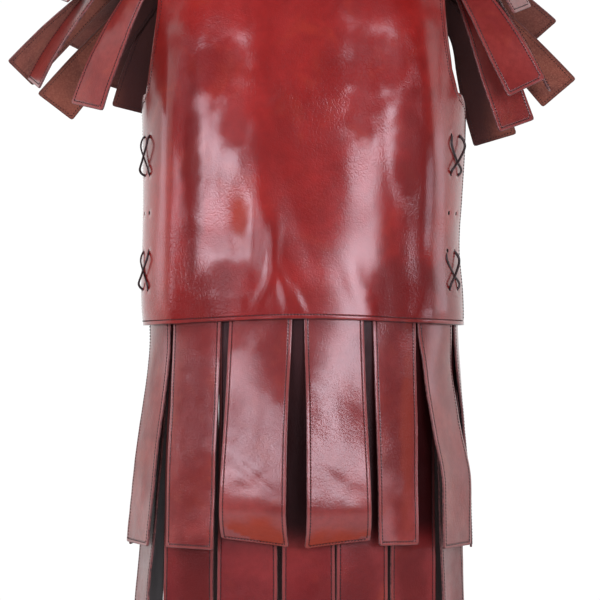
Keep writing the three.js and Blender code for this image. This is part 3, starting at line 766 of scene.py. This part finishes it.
def panelSheet(face):
    hem = [body["hemZ"] + rise for rise in panelCalm["hem"]]

    def placed(place, lift):
        fold = panelFold(face, place[0])
        fold *= lerp(panelCalm["hemKeeps"], 1, smoothStep(place[0].z, *hem))
        fold *= 1 - panelCalm["yokeLoses"] * smoothStep(place[0].z, *panelCalm["yoke"])
        return raised(place, lift + body["leather"] / 2 + fold)

    points = [[spot and placed(*spot) for spot in row] for row in panelGrid(face)]
    wide = sum((b - a).length for a, b in zip(points[0], points[0][1:]))
    tall = max(sum((above[i] - below[i]).length for below, above in zip(points, points[1:]))
               for i, point in enumerate(points[-1]) if point)
    area = sum((below[i + 1] - below[i]).cross(above[i] - below[i]).length
               for below, above in zip(points, points[1:])
               for i in range(len(below) - 1) if above[i] and above[i + 1])
    return {"points": points, "outs": waysOut(points), "cut": (wide, tall), "area": area,
            "thick": body["leather"]}


# Where each line of spots, from its edge inwards, first stands this far in from the edge.
def insetLine(sheet, outline, inset, lines):
    places, ways = [], []
    for spots in lines:
        before = None
        for j, i in spots:
            point, out = sheet["points"][j][i], sheet["outs"][j][i]
            if point is None:
                continue
            depth = outline.find(point)[2]
            if before and depth >= inset:
                share = (inset - before[2]) / max(depth - before[2], 1e-6)
                places.append(before[0].lerp(point, share))
                ways.append(before[1].lerp(out, share).normalized())
                break
            before = (point, out, depth)
    return places, ways


def sewPanel(face, sheet):
    points = sheet["points"]
    outline = roundTheSheet(points)
    rows, columns = len(points), len(points[0])
    shelf = sum(1 for row in points if row[0])  # rows below the armholes
    first = next(i for i, point in enumerate(points[-1]) if point)
    last = columns - 1 - next(i for i, point in enumerate(points[-1][::-1]) if point)

    def inward(row, start, step):
        return [(row, start + step * n) for n in range(panelSewing["reach"])]

    def upright(column, start, step):
        return [(start + step * n, column) for n in range(panelSewing["reach"])]

    ways = ((0, first, 1), (columns - 1, last, -1))
    edges = [("side", [inward(j, side, step) for j in range(2, shelf - 2)])
             for side, armhole, step in ways]
    edges += [("armhole", [upright(i, shelf - 1, -1) for i in range(side + 3 * step, armhole, step)]
               + [inward(j, armhole, step) for j in range(shelf, rows)])
              for side, armhole, step in ways]
    edges += [("hem", [upright(i, 0, 1) for i in range(2, columns - 2)]),
              ("neck", [upright(i, rows - 1, -1) for i in range(first + 3, last - 2)])]
    return sewAlong(face + "PanelStitching", sheet,
                    [insetLine(sheet, outline, panelSewing[edge], spots) for edge, spots in edges])


for face in ("front", "back"):
    sheet = panelSheet(face)
    piece = makeSheet(face + "_panel", sheet,
                      (bodyGrain, fleshSide, darkEdge), holePlaces.values())
    sewPanel(face, sheet)
    print(face, "panel", [round(side) for side in sheet["cut"]], round(sheet["area"] / 100), "cm2")


# Strips.
strap = {"leather": 2.4, "hipGap": 1.2, "shoulderGap": 3.0, "hipOverlap": 14, "hipSettled": 0.2,
         "shoulderOverlap": 12, "leanLimit": 45, "steps": 24, "inset": 4.2, "corner": 3.5,
         "cell": 3.6, "cup": (-0.6, 1.4), "bow": (-0.8, 0.8),
         "waves": ((1.3, 45, 60, 0), (0.25, 12, 15, 4))}  # height, breadth, length, offset
# Strips: at is how far round the edge a strip's middle is, slopes the angles at which it
# hangs out from plumb on its way down. swing and turn are 0 if left out.
hipColumns = "at width taper length slopes swing turn"
upperStrips = tableOf(
    hipColumns,
    (-200, 66, 4, 248, [5, 7, 7, 6, 6]), (-128, 66, -1, 250, [3, 3, 3, 2, 2]),
    (-49.5, 72, 5, 252, [10, 10, 8, 3, -42], -1), (33, 67.5, 6, 254, [10, 10, 8, 3, -42], 0.6),
    (104, 54, -4, 246, [4, 4, 3, 3, 4], -1, 3), (166, 65, 0, 250, [5, 9, 13, 0, 0], 0, 8),
    (243, 68, 2, 252, [4, 4.5, 5.5, 3, 1]), (323, 70, 2, 254, [6, 9, 7, 3, -8]),
    (402, 70, 3, 250, [8, 8, 5, 1, -14], 1), (481, 70, 2, 255, [7, 6, 6, 4, -4]),
    (560, 70, 3, 252, [8, 8, 5, 3, -10], -1), (640, 70, 2, 254, [6, 7, 9, 4, 0]),
    (720, 68, 2, 252, [5, 6, 6, 5, 4]))
lowerStrips = tableOf(
    hipColumns,
    (-214, 64, 2, 372, [1, 4, 5, 5, 4]), (-141, 64, 2, 376, [-1, 0, 0, 0, 1]),
    (-65, 67, 2, 372, [-1, 0, 0, 0, 0]), (4.5, 57, 2, 374, [-1, 0, 0, 1, 0]),
    (65.5, 57, 2, 376, [-1, 0, 0, 0, 1]), (131, 62, 0, 370, [-1, -1, 0, 0, 0]),
    (197, 62, 2, 374, [-1, 1, 2, 2, 2]), (271, 64, 2, 378, [0, 1, 2, 1, 1]),
    (344, 64, 2, 370, [0, 2, 1, 1, 0]), (418, 64, 2, 376, [0, 1, 1, 1, 1]),
    (492, 66, 8, 372, [0, 2, 2, 1, 1]), (565, 64, 2, 378, [0, 1, 2, 1, 0]),
    (636, 64, 4, 372, [0, 2, 2, 2, 2], -1.4), (712, 64, 2, 374, [0, 1.2, 2, 2, 1]))
shoulderColumns = "at length facing lead swing settled slopes"
shoulderWidth, shoulderTaper = 42, 11
shoulderStrips = {
    "left": {
        "outer": tableOf(
            shoulderColumns, (73, 203, 40, 8, 12, 0.4, [34, 28, 22, 18, 14]),
            (12, 150, 64, 14, 14, 0.45, [56, 48, 43, 41, 40]),
            (-60, 168, 152, -26, -26, 0.45, [62, 58, 55, 52, 50]),
            (-106, 150, 172, -62, -20, 0.2, [30, 40, 45, 42, 38])),
        "inner": tableOf(
            shoulderColumns, (30, 238, 62, 22, 18, 0.18, [46, 42, 34, 28, 22]),
            (-16, 240, 138, -32, -32, 0.18, [32, 34, 34, 32, 30]),
            (-70, 220, 168, -37, -37, 0.5, [26, 26, 26, 24, 22]),
            (-120, 135, 176, -50, -14, 0.2, [14, 14, 14, 12, 12]))},
    "right": {
        "outer": tableOf(
            shoulderColumns, (75, 190, 20, 20, 25, 0.4, [30, 24, 17, 13, 12]),
            (22, 142, 55, 16, 16, 0.45, [48, 38, 32, 28, 26]),
            (-42, 168, 152, -32, -36, 0.5, [62, 52, 44, 38, 36]),
            (-93, 148, 175, -55, -25, 0.2, [28, 38, 42, 38, 34])),
        "inner": tableOf(
            shoulderColumns, (47, 240, 30, 18, 18, 0.18, [12, 12, 10, 8, 8]),
            (0, 232, 80, 4, 4, 0.18, [32, 32, 30, 28, 26]),
            (-57, 222, 165, -39, -39, 0.5, [26, 26, 25, 22, 20]),
            (-112, 190, 176, -50, -17, 0.2, [16, 18, 18, 18, 18]))}}

# How far the left edge of a twisted strip stands forward.
stripTwists = {("upper", 3): -5, ("upper", 4): 5, ("lower", 2): 4.5}
# Creases of a strip: how far down (0 to 1) and across (-1 to 1) the middle is, the lean from
# lengthwise, half sizes and height out of the face.
creaseColumns = "down across turn length width height"
stripCreases = {
    ("upper", 3): tableOf(
        creaseColumns, (0.68, 0, -50, 56, 8, -0.6), (0.5, -0.3, 8, 70, 24, 0.6)),
    ("upper", 4): tableOf(
        creaseColumns, (0.7, 0, -58, 52, 9, -0.4), (0.75, 0.1, -60, 46, 8, -0.3),
        (0.45, 0.35, -6, 80, 24, 0.5))}


def hangingFrame(heading, swing, flare):
    out = Vector((sin(radians(heading)), -cos(radians(heading)), 0))
    up = Vector((0, 0, 1))
    hung = Matrix((up.cross(out), up, out)).transposed()
    tilt = Matrix.Rotation(radians(-flare), 3, "X")
    lean = Matrix.Rotation(radians(swing), 3, "Z")
    return (hung @ tilt @ lean).to_quaternion()


def slopeAt(slopes, share):
    place = clamp(share * len(slopes) - 1, 0, len(slopes) - 1)
    k = min(int(place), len(slopes) - 2)
    return lerp(slopes[k], slopes[k + 1], smoothStep(place - k, 0, 1))


def rootFrame(sewn):  # sewn(u, over) is a point of the sewn end, over above the edge
    upward = (sewn(0, strap["hipOverlap"]) - sewn(0, 0)).normalized()
    across = (sewn(1, 0) - sewn(-1, 0)).normalized()
    out = across.cross(upward).normalized()
    return Matrix((upward.cross(out), upward, out)).transposed().to_quaternion(), out


# A strip's course from its sewn end: the way it faces and its middle at each step.
def stripCourse(strip, sewn, root, heading, settled):
    lead = strip.get("lead", strip["swing"])
    down = Vector((0, -1, 0))
    course = root.inverted() @ (hangingFrame(heading, lead, strip["slopes"][0]) @ down)
    limit = radians(strap["leanLimit"])
    lean = clamp(math.atan2(course.x, -course.y), -limit, limit)
    leave = root @ Matrix.Rotation(lean, 3, "Z").to_quaternion()
    facings, middles = [leave], [sewn(0, 0)]
    for n in range(1, strap["steps"] + 1):
        share = n / strap["steps"]
        swing = lerp(lead, strip["swing"], smoothStep(share, 0, 0.5))
        hung = hangingFrame(heading, swing, slopeAt(strip["slopes"], share))
        facing = leave.slerp(hung, smoothStep(share, 0, settled))
        facings.append(facing)
        middles.append(middles[-1] + facing @ down * (strip["length"] / strap["steps"]))
    return facings, middles


def between(values, place):  # a smooth point on a line of points
    k = clamp(int(place), 0, len(values) - 2)
    a, b = values[k], values[k + 1]
    before, after = values[max(k - 1, 0)], values[min(k + 2, len(values) - 1)]
    return eased(a, b, (b - before) * 0.5, (after - a) * 0.5, place - k)


def rounded(x, y, half, length):  # flat points moved so that the tip's corners are round
    corner = strap["corner"]
    dx, dy = corner - (half - abs(x)), corner - (length - y)
    if dx <= 0 or dy <= 0:
        return x, y
    squeeze = max(dx, dy) / math.hypot(dx, dy)
    return math.copysign(half - corner + dx * squeeze, x), length - corner + dy * squeeze


def halfAt(strip, y):  # half its width, y down from the edge
    return strip["width"] / 2 + strip["taper"] / 2 * max(y / strip["length"], 0)


def stripSheet(strip, sewn, heading, settled, overlap, creases=(), twist=0):
    length, width = strip["length"], strip["width"]
    root, out = rootFrame(sewn)
    if heading is None:
        heading = degrees(math.atan2(out.x, -out.y)) + strip["turn"]
    facings, middles = stripCourse(strip, sewn, root, heading, settled)
    start, taper = middles[0], strip["taper"]
    back = facings[0].inverted()
    columns = 2 * round(max(width, width + taper) / strap["cell"] / 2)
    rows = round((length + overlap) / strap["cell"])
    ownWave = Vector([random.uniform(0, 99) for axis in range(3)])
    cup, bow = random.uniform(*strap["cup"]), random.uniform(*strap["bow"])

    def spot(x, y):
        if y <= 0:
            return sewn(2 * x / width, -y)
        share, half = y / length, halfAt(strip, y)
        place = share * strap["steps"]
        k = min(int(place), strap["steps"] - 1)
        facing = facings[k].slerp(facings[k + 1], place - k)
        local = back @ (sewn(x / half, 0) - start)
        local = local.lerp(Vector((x, 0, 0)), smoothStep(share, 0, 0.8))
        free = smoothStep(share, 0.02, 0.45)
        across = x / half
        lift = (cup * (across ** 2 - 0.4) + bow * sin(3 * share + 1) * across) * free
        for size, wide, tall, offset in strap["waves"]:
            wave = noise.noise(Vector((x / wide, y / tall, offset)) + ownWave)
            lift += size * wave * free
        lift -= twist * across * smoothStep(share, 0.1, 0.4)
        for crease in creases:
            lift += ridge(crease, x - crease["across"] * half, y - crease["down"] * length,
                          radians(-crease["turn"]))
        local.z += lift
        return between(middles, place) + facing @ local

    points = []
    for j in range(rows, -1, -1):
        y = j / rows * (length + overlap) - overlap
        half = halfAt(strip, y)
        points.append([spot(*rounded((2 * i / columns - 1) * half, y, half, length))
                       for i in range(columns + 1)])
    return dict(strip, points=points, outs=waysOut(points), thick=strap["leather"],
                overlap=overlap, cut=(max(width, width + taper), length + overlap),
                area=width * overlap + (width + taper / 2) * length)


def onSheet(sheet, x, y):  # the point and the way out at a flat place, y down from the edge
    rows, columns = len(sheet["points"]) - 1, len(sheet["points"][0]) - 1
    i = clamp((x / halfAt(sheet, y) + 1) / 2 * columns, 0, columns - 1e-6)
    j = clamp((1 - (y + sheet["overlap"]) / sheet["cut"][1]) * rows, 0, rows - 1e-6)
    a, b = int(i), int(j)

    def blend(grid):
        low, high = (grid[row][a].lerp(grid[row][a + 1], i - a) for row in (b, b + 1))
        return low.lerp(high, j - b)

    return blend(sheet["points"]), blend(sheet["outs"]).normalized()


def sewStrip(name, sheet):
    inset, length = strap["inset"], sheet["length"]
    tip = length - inset

    def across(y):
        return sheet["width"] / 2 + sheet["taper"] / 2 * y / length - inset

    downs = [tip * n / 60 for n in range(61)]
    edges = ([(-across(y), y) for y in downs],
             [(across(tip) * (n / 6 - 1), tip) for n in range(13)],
             [(across(y), y) for y in downs])
    return sewAlong(name + "Stitching", sheet,
                    [zip(*[onSheet(sheet, x, y) for x, y in flats]) for flats in edges])


# Painted shade: the lower tier's colour is darkened above this height, where the upper tier shades
# it.
paintedShadeBand = (-742, -705)  # the lower tier is darkest above this, under the upper one


def hangStrip(node, sheet):
    low = "lower" in node
    # The hip strips' inner sides take the flesh finish painted near-black as shade.
    finishes = (lowGrain if low else strapGrain,
                innerSide if "skirt" in node else fleshSide, cutEdge)
    # Lower strips carry painted shade where the upper tier hangs over them.
    piece = makeSheet(node, sheet, finishes, under=paintedShadeBand if low else None)
    sewStrip(nameOf(node), sheet)


# The way round the hem and over each shoulder, as tables of angle by distance.
def wayRound(spot, first, last):
    table = [{"distance": 0.0, "angle": first}]
    for angle in range(first + 2, last + 1, 2):
        step = (spot(angle) - spot(angle - 2)).length
        table.append({"distance": table[-1]["distance"] + step, "angle": angle})
    return table


hemRound = wayRound(lambda around: torsoPoint(around, body["hemZ"]), 0, 360)


def angleRound(distance):
    whole = hemRound[-1]["distance"]
    turns = math.floor(distance / whole)
    return 360 * turns + sample(hemRound, "distance", distance - turns * whole, "angle")


def depthsUnder(gap):  # of the middles of the two layers under a panel
    return gap + strap["leather"] / 2, 2 * gap + 1.5 * strap["leather"]


for (tier, strips), depth in zip((("upper", upperStrips), ("lower", lowerStrips)),
                                 depthsUnder(strap["hipGap"])):
    for n, row in enumerate(strips, 1):
        strip = {"swing": 0, "turn": 0, **row}

        def sewn(u, over):
            around = angleRound(strip["at"] + u * strip["width"] / 2)
            return raised(onTorso(around, hemAt(around) + over), -depth)

        sheet = stripSheet(strip, sewn, None, strap["hipSettled"], strap["hipOverlap"],
                           stripCreases.get((tier, n), ()), stripTwists.get((tier, n), 0))
        hangStrip("skirt_%s_%02d" % (tier, n), sheet)
    print(tier, "hip strips hung")

for side, sign in (("left", -1), ("right", 1)):
    overArm = wayRound(lambda rise: yokePoint(sign * armReach(side, rise), rise), 2, 178)
    seamPlace = sample(overArm, "angle", 90, "distance")
    for layer, depth in zip(("outer", "inner"), depthsUnder(strap["shoulderGap"])):
        for n, row in enumerate(shoulderStrips[side][layer], 1):
            strip = dict(row, width=shoulderWidth, taper=shoulderTaper,
                         lead=sign * row["lead"], swing=sign * row["swing"])

            def sewn(u, over):
                along = sign * u * shoulderWidth / 2 - strip["at"] + seamPlace
                rise = sample(overArm, "distance", along, "angle")
                return raised(onYoke(sign * (armReach(side, rise) - over), rise), -depth)

            sheet = stripSheet(strip, sewn, sign * strip["facing"], strip["settled"],
                               strap["shoulderOverlap"])
            hangStrip("shoulder_%s_%s_%d" % (side, layer, n), sheet)
print("shoulder strips hung")


# Lacing.
# From a free end inside out through a hole, across the front to the other column a row lower,
# back behind the leather, and the same again, so that the two cross on the front.
def tieRoute(side, tie):
    first, columns = lacing["ties"][tie], lacing["columns"][side]
    outside, inside = 2 * body["leather"] + body["lapGap"], lacing["inside"]
    low = outside + lacing["half"][1] + 1.4
    high = low + 2 * lacing["half"][1] + 1.2
    wider = math.copysign(1, columns[1] - columns[0])

    def spot(row, column, height, drop=0):
        return raised(holePlaces[side, first + row, column], height) - Vector((0, 0, drop))

    def through(row, column, drop=lacing["slack"]):  # a hole, from the back to the front
        return [spot(row, column, inside, drop), spot(row, column, -lacing["lip"]),
                spot(row, column, outside + lacing["lip"])]

    def onFront(around, down, height):
        return raised(onTorso(around, lacing["topZ"] - (first + down) * lacing["pitch"]), height)

    def bowed(column, down, height, bow):
        return onFront(columns[column] + (2 * column - 1) * wider * bow, down, height)

    def over(height):
        return onFront(sum(columns) / 2, lacing["crossing"], height)

    return [spot(0, 0, inside, lacing["tail"]), *through(0, 0),
            bowed(0, 0.25, low + 1.4, 0.9), over(low), bowed(1, 0.86, low + 1, 0.35),
            *through(1, 1, -lacing["slack"])[::-1], *through(0, 1),
            bowed(1, 0.25, high, 0.9), over(high), bowed(0, 0.86, high, 0.35),
            *through(1, 0)[::-1], spot(1, 0, inside, lacing["tail"])]


def makeLace(side, tie):
    route = tieRoute(side, tie)
    steps, sides = lacing["steps"], lacing["sides"]
    line = [between(route, k + n / steps) for k in range(len(route) - 1) for n in range(steps)]
    line.append(route[-1])
    shape = bmesh.new()
    sideways = holePlaces[side, 0, 0][1]
    rings = []
    for k, point in enumerate(line):
        ahead = (line[min(k + 1, len(line) - 1)] - line[max(k - 1, 0)]).normalized()
        sideways = (sideways - ahead * sideways.dot(ahead)).normalized()
        flat = ahead.cross(sideways)
        ring = []
        for n in range(sides):
            turn = 2 * math.pi * n / sides
            rough = 1 + lacing["rough"] * noise.noise(point * 0.6 + Vector((n, 0, 0)))
            out = flat * cos(turn) * lacing["half"][0] + sideways * sin(turn) * lacing["half"][1]
            ring.append(shape.verts.new((point + out * rough) * mm))
        rings.append(ring)
    for a, b in zip(rings, rings[1:]):
        for n in range(sides):
            shape.faces.new((a[n], a[(n + 1) % sides], b[(n + 1) % sides], b[n]))
    shape.faces.new(rings[0][::-1])
    shape.faces.new(rings[-1])
    bmesh.ops.recalc_face_normals(shape, faces=shape.faces)
    node = "lace_%s_%s" % (side, tie)
    piece = showMesh(nameOf(node), meshOf("lace", shape), (thongFinish,))
    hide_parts(node)
    return sum((b - a).length for a, b in zip(line, line[1:]))


for side in ("left", "right"):
    for tie in lacing["ties"]:
        print(side, tie, "lace", round(makeLace(side, tie)), "mm")


# Floor, lights and surround.
studio = {
    "floorZ": -1.45, "floorRadius": 4.3, "floorSides": 96, "floorColour": (0.75, 0.75, 0.75, 1),
    "away": 2.6, "tint": (0.96, 0.87, 1.0), "aim": (0, 0, -0.4), "white": 1.03, "dim": 0.03,
    "whiteSides": tableOf("azimuth soft", (-77, 0.03), (83, 0.10))}  # where the white begins
# Soft boxes: turn leans a box sideways about the way it faces, and is 0 if left out.
lights = tableOf(
    "name azimuth z width height power turn away",
    ("left", -40, -0.27, 0.9, 0.4, 13), ("leftWing", -20, -0.4, 0.5, 0.22, 2.4),
    ("leftLean", -61, 0.15, 0.12, 1.6, 1.0, 81), ("leftEdge", -67, -0.41, 0.45, 0.2, 2.0),
    ("leftSide", -100, -0.25, 0.9, 0.5, 3), ("right", 26, -0.24, 1.1, 0.56, 19, -8),
    ("rightLean", 46, 0.2, 0.13, 0.5, 0.8, -80), ("rightEdge", 68, -0.56, 1.0, 0.3, 4),
    ("rightSide", 97, -0.3, 0.9, 0.6, 3.5), ("skirtLeft", -31, 0.17, 1.0, 0.3, 8),
    ("skirtRight", 18, 0.27, 0.8, 0.35, 12.5), ("upper", -22, 1.6, 2.0, 1.0, 33, 0, 1.6))

floorShape = bmesh.new()
bmesh.ops.create_circle(floorShape, cap_ends=True, segments=studio["floorSides"],
                        radius=studio["floorRadius"],
                        matrix=Matrix.Translation((0, 0, studio["floorZ"])))
floorMesh = meshOf("floor", floorShape)
floor = addToScene("floor", floorMesh)
paint = Finish("floorPaint")
floorMesh.materials.append(paint.wear(
    Base_Color=studio["floorColour"], Roughness=paint.reach(paint.noise(3), 0.3, 0.7, 0.6, 0.7)))

for row in lights:
    data = bpy.data.lights.new(row["name"], "AREA")
    data.shape = "RECTANGLE"
    data.size, data.size_y = row["width"], row["height"]
    data.energy = row["power"]
    data.color = studio["tint"]
    light = addToScene(row["name"], data)
    around, away = radians(row["azimuth"]), row.get("away", studio["away"])
    light.location = (sin(around) * away, -cos(around) * away, row["z"])
    aim = Vector(studio["aim"]) - light.location
    lean = Matrix.Rotation(radians(row.get("turn", 0)), 3, "Z").to_quaternion()
    light.rotation_euler = (aim.to_track_quat("-Z", "Y") @ lean).to_euler()

world = bpy.data.worlds.new("studio")
bpy.context.scene.world = world
world.use_nodes = True
sky = NodeTree(world.node_tree, "Generated")
white = 0
for row in studio["whiteSides"]:
    turn = radians(row["azimuth"] + math.copysign(90, row["azimuth"]))
    toward = sky.add("ShaderNodeVectorMath", {0: sky.place, 1: (sin(turn), -cos(turn), 0)},
                     operation="DOT_PRODUCT").outputs["Value"]
    part = sky.reach(toward, -row["soft"], row["soft"], studio["dim"], studio["white"])
    white = sky.sum("MAXIMUM", white, part)
background = world.node_tree.nodes["Background"]
sky.put(background.inputs["Strength"], white)
sky.put(background.inputs["Color"], (1, 1, 1, 1))
bpy.context.scene.view_settings.view_transform = "Standard"
print("stage ready")
